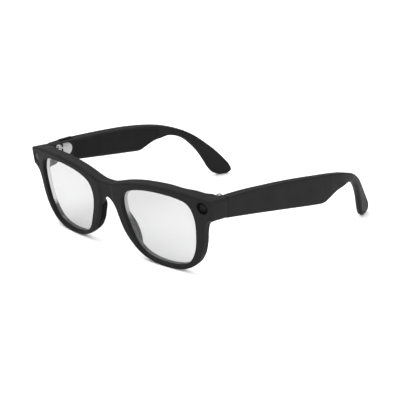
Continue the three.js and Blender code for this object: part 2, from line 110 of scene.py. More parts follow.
def stations(*pairs):
    """A smooth curve through (place, value) pairs."""
    xs = [p[0] for p in pairs]
    ys = [p[1] for p in pairs]
    slopes = [(ys[i + 1] - ys[i]) / (xs[i + 1] - xs[i]) for i in range(len(xs) - 1)]
    tangents = [slopes[0]]
    for i in range(1, len(xs) - 1):
        before, after = xs[i] - xs[i - 1], xs[i + 1] - xs[i]
        tangents.append((slopes[i - 1] * after + slopes[i] * before) / (before + after))
    tangents.append(slopes[-1])

    def at(x):
        x = clamp(x, xs[0], xs[-1])
        i = next((k for k in range(len(xs) - 2) if x < xs[k + 1]), len(xs) - 2)
        h = xs[i + 1] - xs[i]
        t = (x - xs[i]) / h
        return ((2 * t**3 - 3 * t**2 + 1) * ys[i] + (t**3 - 2 * t**2 + t) * h * tangents[i]
                + (3 * t**2 - 2 * t**3) * ys[i + 1] + (t**3 - t**2) * h * tangents[i + 1])

    return at


def spline(points, steps, closed=False):
    """Catmull-Rom points through the given 2-D points."""
    count = len(points)
    made = []
    for i in range(count if closed else count - 1):
        if closed:
            p0, p1, p2, p3 = (points[(i + k) % count] for k in (-1, 0, 1, 2))
        else:
            p0, p1, p2, p3 = (points[clamp(i + k, 0, count - 1)] for k in (-1, 0, 1, 2))
        for s in range(steps):
            t = s / steps
            made.append(tuple(
                0.5 * (2 * b + (c - a) * t + (2 * a - 5 * b + 4 * c - d) * t**2
                       + (3 * b - a - 3 * c + d) * t**3)
                for a, b, c, d in zip(p0, p1, p2, p3)))
    if not closed:
        made.append(tuple(points[-1]))
    return made


def resampled(points, count):
    """The same open line as `count` points at equal distances."""
    line = np.array(points, float)
    run = np.concatenate([[0], np.cumsum(np.hypot(*np.diff(line, axis=0).T))])
    at = np.linspace(0, run[-1], count)
    return np.stack([np.interp(at, run, line[:, 0]), np.interp(at, run, line[:, 1])], 1)


def face_direction(u):
    """How far the depth direction turns towards the middle, and how far it rises, at u."""
    blend = smooth((abs(u) - 55) / 11)
    return lerp(abs(u) / WRAP_RADIUS, -0.06, blend), TILT * (1 - blend)


def face_y(u, v):
    return BRIDGE_Y + WRAP_RADIUS * (1 - math.cos(u / WRAP_RADIUS)) - v * math.sin(TILT)


def front_point(u, v, d):
    swing, lift = face_direction(u)
    side = 1 if u >= 0 else -1
    x = WRAP_RADIUS * math.sin(abs(u) / WRAP_RADIUS) - d * math.sin(swing)
    rise = FRONT_RISE + v * math.cos(TILT) + d * math.sin(lift)
    return side * x, face_y(u, v) + d * math.cos(swing), rise - top_fall(abs(u), v, d)


def top_fall(u, v, d):
    """How far the brow's top falls towards its back near the end pieces."""
    beside = smooth((u - 44) / 10) * (1 - 0.7 * smooth((u - 64) / 5))
    return 0.17 * beside * smooth((v - 43) / 2.5) * max(d - 2, 0)


def front_basis(u, v):
    """Point on the face with the directions across, up and straight out of it."""
    origin = Vector(front_point(u, v, 0))
    across = (Vector(front_point(u + 0.5, v, 0)) - origin).normalized()
    up = (Vector(front_point(u, v + 0.5, 0)) - origin).normalized()
    return origin, across, up, across.cross(up)


# ---- Mesh helpers: a part is a list of points and a list of faces ----
WELD, SLIVER = 2e-6, 1e-7   # metres
SHARP, CUT_SHARP = 35, 40   # degrees from which an edge stays crisp, on plain and on cut pieces


def mesh_object(name, vertices, faces, material, body, sharp=SHARP, weld=True):
    """A smooth-shaded piece that rides on a body."""
    mesh = bpy.data.meshes.new(name)
    mesh.from_pydata([place(v) for v in vertices], [], faces)
    bm = bmesh.new()
    bm.from_mesh(mesh)
    if weld:
        bmesh.ops.remove_doubles(bm, verts=bm.verts, dist=WELD)
        bmesh.ops.dissolve_degenerate(bm, edges=bm.edges, dist=SLIVER)
    bmesh.ops.recalc_face_normals(bm, faces=bm.faces)
    bm.to_mesh(mesh)
    bm.free()
    mesh.materials.append(material)
    made = bpy.data.objects.new(name, mesh)
    bpy.context.scene.collection.objects.link(made)
    shade(made, sharp)
    if body:
        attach(made, body)
    return made


def shade(obj, sharp):
    obj.data.shade_smooth()
    obj.data.set_sharp_from_angle(angle=math.radians(sharp))


def grid_faces(rows, columns, closed=False, start=0):
    """Quads between consecutive rows of points."""
    faces = []
    for r in range(rows - 1):
        for c in range(columns if closed else columns - 1):
            a = start + r * columns + c
            b = start + r * columns + (c + 1) % columns
            faces.append((a, b, b + columns, a + columns))
    return faces


def capped(levels):
    """A closed body through rings of points, with a flat face at each end."""
    count, last = len(levels[0]), (len(levels) - 1) * len(levels[0])
    faces = grid_faces(len(levels), count, closed=True)
    faces += [tuple(range(count)), tuple(reversed(range(last, last + count)))]
    return [p for level in levels for p in level], faces


def turned(profile, segments, spot=None):
    """A profile of (radius, height) turned about Z, or about spot's outward direction."""
    vertices = []
    for r, h in profile:
        for k in range(segments):
            a = 2 * math.pi * k / segments
            vertices.append((r * math.cos(a), r * math.sin(a), h))
    if spot:
        origin, across, up, out = spot
        vertices = [tuple(origin + across * x + up * y + out * z) for x, y, z in vertices]
    return vertices, grid_faces(len(profile), segments, closed=True)


def rounded(profile, size, steps=4):
    """A profile with its inner corners rounded by up to size."""
    made = [profile[0]]
    for before, corner, after in zip(profile, profile[1:], profile[2:]):
        a, b, c = Vector(before), Vector(corner), Vector(after)
        reach = min(size, (a - b).length * 0.49, (c - b).length * 0.49)
        if reach < 1e-4:
            made.append(corner)
            continue
        p, q = b + (a - b).normalized() * reach, b + (c - b).normalized() * reach
        for k in range(steps + 1):
            t = k / steps
            made.append(tuple(p * (1 - t) ** 2 + b * 2 * t * (1 - t) + q * t * t))
    made.append(profile[-1])
    return made


def box_mesh(low, high, bevel=0.0, segments=3):
    bm = bmesh.new()
    bmesh.ops.create_cube(bm, size=1)
    for v in bm.verts:
        v.co = Vector([lerp(low[i], high[i], v.co[i] + 0.5) for i in range(3)])
    if bevel:
        bmesh.ops.bevel(bm, geom=bm.edges[:], offset=bevel, segments=segments, profile=0.5,
                        affect="EDGES")
    bm.verts.index_update()
    made = [tuple(v.co) for v in bm.verts], [tuple(v.index for v in f.verts) for f in bm.faces]
    bm.free()
    return made


def moved(part, move):
    vertices, faces = part
    return [tuple(move(*v)) for v in vertices], faces


def merged(*parts):
    vertices, faces = [], []
    for part_vertices, part_faces in parts:
        start = len(vertices)
        vertices += part_vertices
        faces += [tuple(start + i for i in f) for f in part_faces]
    return vertices, faces


def mirrored(part):
    vertices, faces = part
    return [(-x, y, z) for x, y, z in vertices], [tuple(reversed(f)) for f in faces]


# Parts are made for the wearer's left side (+X) and mirrored for the right
SIDES = (("left", lambda part: part), ("right", mirrored))


def cut(obj, part):
    """Takes a closed mesh out of obj."""
    vertices, faces = part
    cutter = mesh_object("cutter", vertices, faces, obj.data.materials[0], None)
    modifier = obj.modifiers.new("cut", "BOOLEAN")
    modifier.object = cutter
    modifier.operation = "DIFFERENCE"
    modifier.solver = "EXACT"
    bpy.context.view_layer.update()
    evaluated = obj.evaluated_get(bpy.context.evaluated_depsgraph_get())
    result = bpy.data.meshes.new_from_object(evaluated)
    obj.modifiers.clear()
    old = obj.data
    obj.data = result
    bpy.data.meshes.remove(old)
    bpy.data.objects.remove(cutter)


# ---- Materials: noise scales are per metre, so 90 gives patches about 11 mm across ----
def node_material(name):
    made = bpy.data.materials.new(name)
    made.use_nodes = True
    nodes, links = made.node_tree.nodes, made.node_tree.links
    shader = nodes["Principled BSDF"]
    return made, nodes, links, shader


def noise(nodes, links, scale, detail=3.0, stretch=(1, 1, 1)):
    coordinates = nodes.new("ShaderNodeTexCoord")
    mapping = nodes.new("ShaderNodeMapping")
    mapping.inputs["Scale"].default_value = stretch
    texture = nodes.new("ShaderNodeTexNoise")
    texture.inputs["Scale"].default_value = scale
    texture.inputs["Detail"].default_value = detail
    links.new(coordinates.outputs["Object"], mapping.inputs["Vector"])
    links.new(mapping.outputs["Vector"], texture.inputs["Vector"])
    return texture.outputs["Fac"]


def ramp(nodes, links, value, low, high, dark, light):
    """Maps a value between low and high to a colour or grey between dark and light."""
    made = nodes.new("ShaderNodeValToRGB")
    made.color_ramp.elements[0].position = low
    made.color_ramp.elements[1].position = high
    for element, colour in zip(made.color_ramp.elements, (dark, light)):
        shade_of = colour if isinstance(colour, (tuple, list)) else (colour,) * 3
        element.color = (*shade_of, 1)
    links.new(value, made.inputs["Fac"])
    return made.outputs["Color"]


def math_node(nodes, links, operation, *inputs):
    """A Math node whose inputs are numbers or other nodes' outputs."""
    made = nodes.new("ShaderNodeMath")
    made.operation = operation
    for socket, value in zip(made.inputs, inputs):
        if isinstance(value, bpy.types.NodeSocket):
            links.new(value, socket)
        else:
            socket.default_value = value
    return made.outputs["Value"]


def map_range(nodes, links, value, span, least):
    """Maps a value's span to least..1, held at both ends."""
    made = nodes.new("ShaderNodeMapRange")
    made.inputs["From Min"].default_value, made.inputs["From Max"].default_value = span
    made.inputs["To Min"].default_value = least
    links.new(value, made.inputs["Value"])
    return made.outputs["Result"]


def bump(nodes, links, shader, value, strength, distance):
    made = nodes.new("ShaderNodeBump")
    made.inputs["Strength"].default_value = strength
    made.inputs["Distance"].default_value = distance
    links.new(value, made.inputs["Height"])
    links.new(made.outputs["Normal"], shader.inputs["Normal"])


def plastic(name, colour, roughness, grain=0.00022, relief=0.00003, spread=0.12, specular=0.5):
    """Moulded plastic: fine grain, slow changes of tone and gloss."""
    made, nodes, links, shader = node_material(name)
    slow = noise(nodes, links, 90, 4)
    dark = tuple(c * (1 - spread) for c in colour)
    light = tuple(c * (1 + spread) for c in colour)
    links.new(ramp(nodes, links, slow, 0.3, 0.7, dark, light), shader.inputs["Base Color"])
    patches = noise(nodes, links, 260, 5)
    links.new(ramp(nodes, links, patches, 0.3, 0.7, roughness - 0.05, roughness + 0.05),
              shader.inputs["Roughness"])
    fine = noise(nodes, links, 1 / grain, 2)
    bump(nodes, links, shader, fine, 0.35, relief)
    shader.inputs["Specular IOR Level"].default_value = specular
    return made


def metal(name, colour, roughness, stretch=(1, 1, 14), scale=900, relief=0.00001):
    """Brushed or satin metal, with fine lines one way."""
    made, nodes, links, shader = node_material(name)
    lines = noise(nodes, links, scale, 4, stretch)
    dark = tuple(c * 0.85 for c in colour)
    links.new(ramp(nodes, links, lines, 0.3, 0.7, dark, colour), shader.inputs["Base Color"])
    links.new(ramp(nodes, links, lines, 0.3, 0.7, roughness - 0.07, roughness + 0.07),
              shader.inputs["Roughness"])
    shader.inputs["Metallic"].default_value = 1.0
    bump(nodes, links, shader, lines, 0.25, relief)
    return made


def gloss(name, colour, roughness, specular):
    """Smooth glass or lacquer with faint smears."""
    made, nodes, links, shader = node_material(name)
    slow = noise(nodes, links, 400, 3)
    light = tuple(c * 1.4 for c in colour)
    links.new(ramp(nodes, links, slow, 0.35, 0.65, colour, light), shader.inputs["Base Color"])
    smears = noise(nodes, links, 700, 4)
    links.new(ramp(nodes, links, smears, 0.4, 0.7, roughness, roughness + 0.06),
              shader.inputs["Roughness"])
    shader.inputs["Specular IOR Level"].default_value = specular
    return made


def clear(name, colour, alpha):
    """Clear plastic as a thin see-through skin: a lens shows two of them."""
    made, nodes, links, shader = node_material(name)
    slow = noise(nodes, links, 60, 2)
    light = tuple(min(1, c * 1.04) for c in colour)
    links.new(ramp(nodes, links, slow, 0.4, 0.6, colour, light), shader.inputs["Base Color"])
    smears = noise(nodes, links, 300, 4)
    links.new(ramp(nodes, links, smears, 0.4, 0.7, 0.02, 0.05), shader.inputs["Roughness"])
    shader.inputs["Alpha"].default_value = alpha
    return made


# A lens's cut edge with painted reflection, in metres up (Z) and out from the middle (X)
EDGE_SLOPE = 0.23            # its painted light part starts this much lower per metre outwards
EDGE_PAINTED_LIGHT = 0.0235, 0.028   # painted shade below the first height, painted reflection above the second
EDGE_NOSE_PAINTED_SHADE = 0.014, 0.030     # painted shade dims it inside the first place, full outside the second


def painted_reflection_edge(name, dark, light):
    """A lens's cut edge: painted reflection at the top, most at the temple, painted shade below,
    painted glow.
    """
    made, nodes, links, shader = node_material(name)
    coordinates = nodes.new("ShaderNodeTexCoord")
    axes = nodes.new("ShaderNodeSeparateXYZ")
    links.new(coordinates.outputs["Object"], axes.inputs["Vector"])
    sideways = math_node(nodes, links, "ABSOLUTE", axes.outputs["X"])
    height = math_node(nodes, links, "MULTIPLY_ADD", sideways, EDGE_SLOPE, axes.outputs["Z"])
    # painted reflection by height, dimmed by painted shade towards the nose
    share = map_range(nodes, links, height, EDGE_PAINTED_LIGHT, 0.0)
    side = map_range(nodes, links, sideways, EDGE_NOSE_PAINTED_SHADE, 0.4)
    lit = math_node(nodes, links, "MULTIPLY", share, side)
    uneven = math_node(nodes, links, "MULTIPLY_ADD", noise(nodes, links, 500, 3), 0.25, lit)
    tone = ramp(nodes, links, uneven, 0.1, 1.1, dark, light)
    links.new(tone, shader.inputs["Base Color"])
    # painted glow: the edge gives off its painted tone as light
    links.new(tone, shader.inputs["Emission Color"])
    shader.inputs["Emission Strength"].default_value = 0.15
    shader.inputs["Roughness"].default_value = 0.3
    return made


frame_black = plastic("frame_black", (0.0094, 0.0094, 0.0100), 0.55, specular=0.07)
inner_black = plastic("inner_black", (0.0080, 0.0080, 0.0084), 0.6, specular=0.05)
# The pads' dark tone is partly their own plastic and partly painted shade of the rim's nose side
pad_black_painted_shade = plastic("pad_black_painted_shade", (0.003, 0.003, 0.0032), 0.55, grain=0.0003, specular=0.03)
button_black = plastic("button_black", (0.002, 0.002, 0.0021), 0.45, grain=0.0003, specular=0.08)
barrel_grey = plastic("barrel_grey", (0.010, 0.010, 0.0105), 0.4, grain=0.0003, specular=0.1)
board_green = plastic("board_green", (0.03, 0.10, 0.055), 0.5, spread=0.35)
film_amber = plastic("film_amber", (0.30, 0.14, 0.04), 0.35, spread=0.2)
battery_grey = plastic("battery_grey", (0.32, 0.33, 0.35), 0.35, spread=0.1)
nickel = metal("nickel", (0.40, 0.40, 0.397), 0.36)
steel = metal("steel", (0.55, 0.55, 0.54), 0.4)
dark_steel = metal("dark_steel", (0.10, 0.10, 0.10), 0.45)
gold = metal("gold", (0.78, 0.58, 0.28), 0.3)
camera_gloss = gloss("camera_gloss", (0.0012, 0.0012, 0.0014), 0.12, 0.12)
ring_gloss = gloss("ring_gloss", (0.001, 0.001, 0.0011), 0.3, 0.02)
window_smoke = gloss("window_smoke", (0.010, 0.010, 0.0105), 0.4, 0.12)
lens_clear = clear("lens_clear", (0.13, 0.13, 0.133), 0.295)
# the lens edges' painted reflection and painted glow
lens_edge_painted_reflection = painted_reflection_edge("lens_edge_painted_reflection", 0.04, 0.8)

# ---- Front outlines ----
brow_top = stations((0, BRIDGE_TOP), (4, 41.2), (8, 42.2), (14, 44), (24, 46.1), (36, 47.3), (50, 47.4),
                    (60, 46.8), (72, 45.2))
OPENING = spline([(60.2, 31), (57.4, 40.1), (50, 42.9), (36, 43.4), (22.5, 41.7), (13.8, 37.6),
                  (11.6, 29.5), (15, 17.5), (19.9, 8.8), (28, 4.7), (41, 3.9), (52, 7),
                  (58.2, 15.9)], 24, closed=True)
# From the end piece round to the top of the nose arch, and one point past the middle
RIM = [(70.3, 34.75), (69.3, 34.6), (66.4, 32.3), (64.9, 28), (63.8, 21), (61.7, 13.9),
       (57.8, 7.9), (51.5, 3.9), (44, 2.1), (35.5, 1.9), (27.4, 2.9), (20.2, 5.7), (14.4, 10.1),
       (10, 15.7), (7.5, 21.5), (5.8, 26.8), (4.3, 29.5), (2.2, 31.6), (0, ARCH_TOP), (-2.2, 31.6)]


def arc(centre, radius, start, end, steps):
    return [(centre[0] + radius * math.cos(math.radians(lerp(start, end, k / steps))),
             centre[1] + radius * math.sin(math.radians(lerp(start, end, k / steps))))
            for k in range(steps + 1)]


def outer_line():
    """Half of the front's outline, from the bridge's top round to the top of the nose arch."""
    top_radius, low_radius, steps = 1.3, 1.0, 10
    top_end = CORNER_U - top_radius
    top = [(u, brow_top(u)) for u in np.arange(0, top_end, 0.8)]
    corner = arc((top_end, brow_top(top_end) - top_radius), top_radius, 86, 0, 8)
    lower = arc((CORNER_U - low_radius, END_BOTTOM + low_radius), low_radius, 0, -80, 6)
    return top + corner + lower + spline(RIM, steps)[1:-steps]


def distance_to(points, line, closed=False):
    """Distance of each point to a polyline."""
    a = np.array(line, float)
    b = np.roll(a, -1, 0) if closed else a[1:]
    a = a if closed else a[:-1]
    edge = b - a
    length = (edge**2).sum(1) + 1e-12
    p = np.array(points, float)[:, None, :]
    t = np.clip(((p - a) * edge).sum(2) / length, 0, 1)
    return np.hypot(*np.moveaxis(p - (a + t[..., None] * edge), 2, 0)).min(1)


def fillet(distance, radius):
    """How far a rounded edge has fallen away at a distance from the edge."""
    if distance >= radius:
        return 0.0
    return radius - math.sqrt(max(radius**2 - (radius - distance) ** 2, 0))


web_depth = stations((46, 0), (50, 0.3), (54, 1.2), (58, 2.7), (61, 4.0), (72, 5.0))


def end_height(v):
    """0 below the end pieces and 1 at their height."""
    return smooth((v - 33.0) / 1.4)


def back_depth(u, v):
    """Depth of the front's back surface, before its edges are rounded."""
    depth = lerp(RIM_DEPTH, BROW_DEPTH, smooth((v - 36.1) / 1.7))
    depth += web_depth(u) * smooth((v - 39.6) / 1.6)
    end = (SEAM_Y - face_y(u, v)) / math.cos(face_direction(u)[0])
    return lerp(depth, end, smooth((u - 61.4) / 1.2) * end_height(v))


def front_crown(u):
    """Soft relief of the face: the bridge is a shallow flat between the rims."""
    return 0.45 * smooth((6.5 - u) / 3.0) - 0.1 * smooth((u - 15) / 20)


def back_edge_radius(u, v):
    """The back's edges are tight at the end pieces and full under the bridge."""
    end_piece = smooth((u - 60) / 2) * end_height(v)
    arch = smooth((8 - u) / 3) * smooth((37 - v) / 3)
    return lerp(1.0, 0.35, end_piece) + 1.3 * arch


# ---- The front's mesh: a polar grid from the lens opening out to the outline ----
COLUMNS = 220
MIDDLE_STEPS = 25
FLAT_ROWS = 24
ROUNDING = [1 - math.cos(math.radians(a)) for a in (0, 12, 26, 42, 60, 78, 95)]


def outside_points():
    """The half outline, closed by points on the middle plane."""
    outline = resampled(outer_line(), COLUMNS - MIDDLE_STEPS + 1)
    plane = [(0.0, ARCH_TOP + (BRIDGE_TOP - ARCH_TOP)
              * (0.5 - 0.5 * math.cos(math.pi * k / MIDDLE_STEPS)))
             for k in range(1, MIDDLE_STEPS)]
    return np.vstack([outline, plane])


def opening_points(outside):
    """The opening's point for each outside point, at evened-out angles about the lens's centre."""
    wanted = np.arctan2(outside[:, 1] - LENS_CENTRE[1], outside[:, 0] - LENS_CENTRE[0])
    falling = np.minimum.accumulate(np.unwrap(wanted))
    steps = np.diff(np.append(falling, falling[0] - 2 * math.pi))
    kernel = np.ones(13) / 13
    steps = np.convolve(np.concatenate([steps[-6:], steps, steps[:6]]), kernel, "valid")
    steps *= -2 * math.pi / steps.sum()
    matched = falling[0] + np.concatenate([[0], np.cumsum(steps)[:-1]])
    opening = np.array(OPENING)
    angles = np.unwrap(np.arctan2(opening[:, 1] - LENS_CENTRE[1], opening[:, 0] - LENS_CENTRE[0]))
    turn = (matched - angles.min()) % (2 * math.pi) + angles.min()
    order = np.argsort(angles)
    angles = np.append(angles[order], angles[order][0] + 2 * math.pi)
    opening = np.vstack([opening[order], opening[order][:1]])
    return np.stack([np.interp(turn, angles, opening[:, k]) for k in (0, 1)], 1)


def row_shares(inner, outer, width):
    """Rows as shares of the way out: close together over the fillets and even between them."""
    rows = [share * inner / width for share in ROUNDING]
    first, last = rows[-1], 1 - ROUNDING[-1] * outer / width
    rows += [lerp(first, last, k / FLAT_ROWS) for k in range(1, FLAT_ROWS)]
    return rows + [1 - share * outer / width for share in reversed(ROUNDING)]


def half_front():
    """The +X half of the front as rows of points from the opening out, front then back."""
    outside = outside_points()
    inside = opening_points(outside)
    width = np.hypot(*(outside - inside).T)
    widest = [1.7 - 0.6 * smooth((u - 58) / 6) for u in outside[:, 0]]
    outer_fillet = np.clip(0.52 * width, 0.7, widest)
    inner_fillet = np.clip(0.2 * width, 0.3, 0.5)
    rows = row_shares(inner_fillet, outer_fillet, width)
    points = np.stack([inside + (outside - inside) * row[:, None] for row in rows])
    edge = outer_line()
    whole_edge = [(-u, v) for u, v in reversed(edge[1:])] + edge
    flat = points.reshape(-1, 2)
    to_edge = distance_to(flat, whole_edge).reshape(len(rows), -1)
    to_opening = distance_to(flat, OPENING, closed=True).reshape(len(rows), -1)
    to_opening[0] = 0
    to_edge[-1][points[-1, :, 0] > ON_MIDDLE] = 0
    fronts, backs = [], []
    for r in range(len(rows)):
        for c in range(COLUMNS):
            u, v = points[r, c]
            s, i = to_edge[r, c], to_opening[r, c]
            front = front_crown(u) * smooth(i / 2) * smooth(s / 2)
            front += fillet(s, outer_fillet[c]) + fillet(i, inner_fillet[c])
            back = back_depth(u, v) - (fillet(s, back_edge_radius(u, v)) + fillet(i, 0.45))
            fronts.append((u, v, front))
            backs.append((u, v, back))
    return fronts, backs, len(rows)


def edge_walls(fronts, backs, row, vertices):
    """Joins the front's and the back's points of one row, leaving the middle plane open."""
    count, steps = len(fronts), 5
    levels = [list(range(row, row + COLUMNS))]
    for k in range(1, steps):
        start = len(vertices)
        for (u, v, d0), (_, _, d1) in zip(fronts[row:row + COLUMNS], backs[row:row + COLUMNS]):
            vertices.append(front_point(u, v, lerp(d0, d1, k / steps)))
        levels.append(list(range(start, start + COLUMNS)))
    levels.append([count + i for i in range(row, row + COLUMNS)])
    faces = []
    for low, high in zip(levels, levels[1:]):
        for c in range(COLUMNS):
            n = (c + 1) % COLUMNS
            if fronts[row + c][0] > ON_MIDDLE or fronts[row + n][0] > ON_MIDDLE:
                faces.append((low[c], low[n], high[n], high[c]))
    return faces


def front_mesh():
    fronts, backs, rows = half_front()
    vertices = [front_point(*p) for p in fronts + backs]
    faces = grid_faces(rows, COLUMNS, closed=True)
    faces += [tuple(reversed(f))
              for f in grid_faces(rows, COLUMNS, closed=True, start=len(fronts))]
    for row in (0, (rows - 1) * COLUMNS):
        faces += edge_walls(fronts, backs, row, vertices)
    half = (vertices, faces)
    return merged(half, mirrored(half))


front = mesh_object("front_shell", *front_mesh(), frame_black, "front", sharp=CUT_SHARP)

# ---- Camera, capture light and sensor ----
CAMERA = (65.7, 40.9)
LIGHT = (-66.0, 40.2)
SENSOR = (-65.2, 36.0)


def bore(spot, radius, depth):
    return turned([(0, -depth), (radius, -depth), (radius, 2), (0, 2)], 48, spot)


camera_spot = front_basis(*CAMERA)
light_spot = front_basis(*LIGHT)
sensor_spot = front_basis(*SENSOR)
cut(front, bore(camera_spot, 3.2, 2.2))
cut(front, bore(light_spot, 2.98, 2.0))
cut(front, bore(sensor_spot, 0.8, 0.7))
shade(front, CUT_SHARP)
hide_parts("front_frame", "rear_brow_cover")

ring = rounded([(1.75, -1.6), (1.8, -0.75), (2.1, -0.42), (2.9, -0.3), (3.14, -0.5), (3.14, -2.0)],
               0.1)
bezel = mesh_object("camera_ring", *turned(ring, 64, camera_spot), ring_gloss, "front")
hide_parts("camera_bezel_ring")
barrel = rounded([(1.78, -0.9), (1.7, -0.72), (1.5, -0.7), (1.44, -0.85), (1.4, -1.2),
                  (1.0, -1.3), (0.95, -1.5)], 0.05, 2)
cone = mesh_object("camera_barrel", *turned(barrel, 64, camera_spot), barrel_grey, "front")
glass = [(0, -0.98), (0.35, -1.0), (0.7, -1.07), (1.05, -1.18), (1.38, -1.34)]
eye = mesh_object("camera_eye", *turned(glass, 48, camera_spot), camera_gloss, "front")
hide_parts("camera_window")

lamp = rounded([(0, -0.22), (1.5, -0.24), (2.4, -0.28), (2.68, -0.34), (2.86, -0.6),
                (2.88, -1.9)], 0.12)
light = mesh_object("light_window", *turned(lamp, 64, light_spot), window_smoke, "front")
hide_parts("capture_light_window")
dot = [(0, -0.3), (0.4, -0.32), (0.7, -0.42), (0.76, -0.7)]
sensor = mesh_object("sensor_window", *turned(dot, 32, sensor_spot), camera_gloss, "front")
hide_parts("light_sensor")


# ---- Lenses ----
def grown(point, by):
    direction = Vector((point[0] - LENS_CENTRE[0], point[1] - LENS_CENTRE[1]))
    return Vector(point) + direction.normalized() * by


def lens_bulge(u, v):
    reach = ((u - LENS_CENTRE[0]) / 25) ** 2 + ((v - LENS_CENTRE[1]) / 20) ** 2
    return 0.5 * (1 - min(reach, 1.1))


def opening_ring(by, depth, share=1.0, bulge=None):
    """The opening's outline grown by `by` and shrunk to a share, at a depth less any bulge."""
    level = []
    for p in resampled(OPENING + OPENING[:1], 161)[:-1]:
        q = grown(p, by)
        u = lerp(LENS_CENTRE[0], q.x, share)
        v = lerp(LENS_CENTRE[1], q.y, share)
        level.append(front_point(u, v, depth - bulge(u, v) if bulge else depth))
    return level


def lens_part():
    """A disc that follows the front's curve and bulges a little forwards."""
    shares = [0.02, 0.2, 0.4, 0.6, 0.8, 0.93, 1.0]
    levels = [opening_ring(0.25, depth, share, lens_bulge)
              for depth, order in ((LENS_FACE, shares), (LENS_BACK, shares[::-1]))
              for share in order]
    return capped(levels)


def lens_rim_part():
    """The lens's polished edge, which shows as a thin band inside the opening, in painted reflection.
    """
    profile = ((LENS_FACE, 0.05), (2.4, -0.06), (4.2, -0.06), (4.4, -0.02), (4.45, 0.3))
    levels = [opening_ring(by, depth) for depth, by in profile]
    faces = grid_faces(len(levels), len(levels[0]), closed=True)
    return [p for level in levels for p in level], faces


for name, turn in SIDES:
    lens = mesh_object(f"{name}_lens_glass", *turn(lens_part()), lens_clear, "front")
    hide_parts(f"{name}_lens")
    # this edge carries painted reflection and a painted glow
    rim = mesh_object(f"{name}_lens_edge_painted_reflection", *turn(lens_rim_part()), lens_edge_painted_reflection, "front")


# ---- Nose pads ----
nasal = stations((8, 14.9), (12, 12.0), (18, 9.0), (24, 6.9), (30, 5.2))
PAD_LOW, PAD_HIGH, SKIRT_TOP = 8, 29, 27.4
pad_reach = stations((8, 0), (8.5, 1.1), (10, 2.5), (12, 3.3), (16, 3.9), (21, 3.4), (25.6, 2.3),
                     (28, 1.2), (29, 0))


def pad_part():
    """A half-moon behind the nasal rim, rounded on its nose side and splayed to the back."""
    rows, across = 36, 20
    levels = []
    for r in range(rows + 1):
        t = 0.5 - 0.5 * math.cos(math.pi * r / rows)
        v = lerp(PAD_LOW, PAD_HIGH, t)
        reach = pad_reach(v)
        half = 1.75 * math.sin(math.pi * t) ** 0.31 + 0.02
        middle = nasal(v) + lerp(2.5, 1.3, smooth((v - 18) / 8))
        level = []
        for k in range(across):
            a = 2 * math.pi * k / across
            share = 0.5 + 0.5 * math.sin(a)
            back = share * reach
            w = half * math.cos(a) * (1 - 0.25 * share)
            level.append(front_point(middle + w + 0.3 * back, v, RIM_DEPTH - 0.5 + back))
        levels.append(level)
    return capped(levels)


def pad_skirt_painted_shade():
    """The pad's thin front part, which wraps the nose side of the rim, partly as painted shade there.
    """
    line = [p for p in spline(RIM, 10) if PAD_LOW < p[1] < SKIRT_TOP and p[0] < 17]
    profile = ((-0.8, 0.9), (-0.8, 0.0), (0.0, 0.0), (0.24, 0.1), (0.3, 0.2), (0.3, 0.85),
               (0.1, 1.0))
    levels = []
    for k, p in enumerate(line):
        proud = smooth(min(k, len(line) - 1 - k) / 6) * (0.3 + 0.7 * smooth((31 - p[1]) / 6))
        level = []
        for by, share in profile:
            q = grown(p, by if by < 0 else by * proud - 0.05)
            level.append(front_point(q.x, q.y, lerp(1.3, 4.1 + 0.8 * proud, share)))
        levels.append(level)
    return capped(levels)


for name, turn in SIDES:
    # the skirt's dark colour paints shade over the nose side of the rim
    both = merged(pad_part(), pad_skirt_painted_shade())
    pad = mesh_object(f"{name}_pad", *turn(both), pad_black_painted_shade, "front", weld=False)
    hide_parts(f"{name}_nose_pad")

# ---- Arms: stations as in the CAD part ----
ARM_END = 158.8
BOX_END = 100      # up to here the sections stand upright
TIP_START = 149    # from here the tip closes
ARM_DEPTH = 7.0    # depths into an arm are given as if it were this thick all along
CROWN = 0.12       # how far its flat faces bulge
outer_face = stations((12, 71.2), (50, 73.8), (90, 75.5), (105, 73.6), (120, 68.8), (140, 60.3),
                      (152, 56.5))
thickness = stations((12, 7), (50, 6.7), (90, 6.2), (110, 5.2), (130, 4.7), (152, 4.5))
arm_top = stations((12, 42.8), (26, 43.2), (40, 42.9), (55, 42.3), (77, 40.7), (97, 38.2),
                   (108, 35.9))
arm_bottom = stations((12, 32.1), (30, 30.3), (55, 27.5), (76, 25.2), (80.5, 24.75),
                      (83.5, 24.9), (87, 26.2), (95, 29), (102, 29.8))
PLATE_START = 18.7
BUTTON = {"from": 19.8, "to": 29.4, "low": 1.0, "high": 3.6, "proud": 0.5}
PANEL = {"from": 27.6, "to": 98, "edge": 1.9, "depth": 0.9, "corner": 1.6}
PANEL_GAP = 0.14   # round the inner panel
FIT_GAP = 0.16     # round the hinge plate and the button
GRILLE_POCKET = (83.8, -1.5, 1.9), (92.2, 1.4, 4.5)
SWITCH_SLOT = (31.0, 35.7, 5.0), (36.8, 38.5, 9)
# The bent tip's lower edge, along and up, and then its upper edge
TIP_EDGES = (
    stations((100, 100), (107, 106), (113, 111.4), (120, 116.9), (128, 122.1), (136, 126.8),
             (144, 130.7), (151, 134.1), (155, 137.2), (157.6, 141), (159, 145)),
    stations((100, 29.6), (107, 30.3), (113, 29.3), (120, 26.8), (128, 22.3), (136, 16.7),
             (144, 10.3), (151, 4.6), (155, 1.5), (157.6, 0.2), (159, 0.1)),
    stations((100, 100), (107, 108.8), (113, 116.9), (120, 124.8), (128, 131.7), (136, 137.9),
             (144, 143.3), (151, 147.6), (155, 149.2), (157.6, 148.8), (159, 146)),
    stations((100, 37.7), (107, 35.4), (113, 32.3), (120, 27.9), (128, 22.5), (136, 17),
             (144, 11.5), (151, 6.5), (155, 3.5), (157.6, 1.3), (159, 0.1)))


